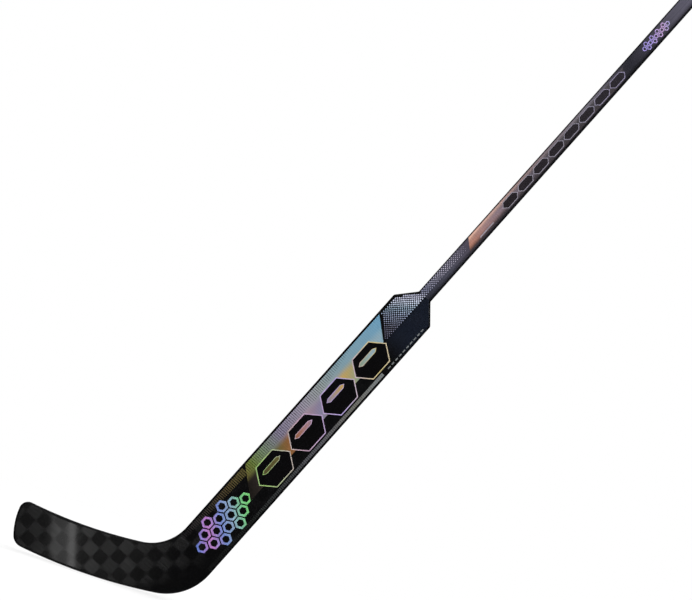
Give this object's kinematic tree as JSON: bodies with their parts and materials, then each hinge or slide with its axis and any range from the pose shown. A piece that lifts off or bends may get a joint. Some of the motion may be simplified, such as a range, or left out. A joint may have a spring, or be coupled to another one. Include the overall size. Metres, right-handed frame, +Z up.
{
  "type": "hockey goalie stick",
  "caption": "Composite goalie stick with a curved blade, a wide paddle with sloped shoulders and a rectangular hollow shaft closed by a butt plug.",
  "frame": {"origin": "where the blade's sole touches the ice, in the middle of the paddle's thickness", "axes": "+Z up from the ice, -X towards the toe, the shaft rises towards +X, -Y out of the front face"},
  "size_m": [0.9249, 0.0371, 1.4349],
  "materials": {
    "lacquered_carbon": "spread-tow carbon weave under clear lacquer",
    "bare_carbon": "satin unpainted laminate",
    "core_foam": null,
    "dense_filler": null,
    "iridescent_foil": "iridescent film under lacquer",
    "plug_plastic": "moulded, fine spark texture"
  },
  "bodies": {
    "root": {"blade_front_skin": "lacquered_carbon", "blade_back_skin": "lacquered_carbon", "blade_core_upper": "core_foam", "blade_core_lower": "core_foam", "blade_core_rib": "bare_carbon", "heel_core": "core_foam", "heel_tongue": "bare_carbon", "paddle_front_skin": "lacquered_carbon", "paddle_back_skin": "lacquered_carbon", "paddle_core_toe_side": "core_foam", "paddle_core_heel_side": "core_foam", "paddle_core_web": "bare_carbon", "shoulder_cheek_toe_side": "dense_filler", "shoulder_cheek_heel_side": "dense_filler", "shaft_tube": "lacquered_carbon", "shaft_spigot": "bare_carbon", "shaft_foam_stop": "core_foam", "butt_plug": "plug_plastic", "paddle_front_foil": "iridescent_foil", "paddle_back_foil": "iridescent_foil", "shaft_front_foil": "iridescent_foil", "shaft_back_foil": "iridescent_foil"}
  },
  "joints": []
}
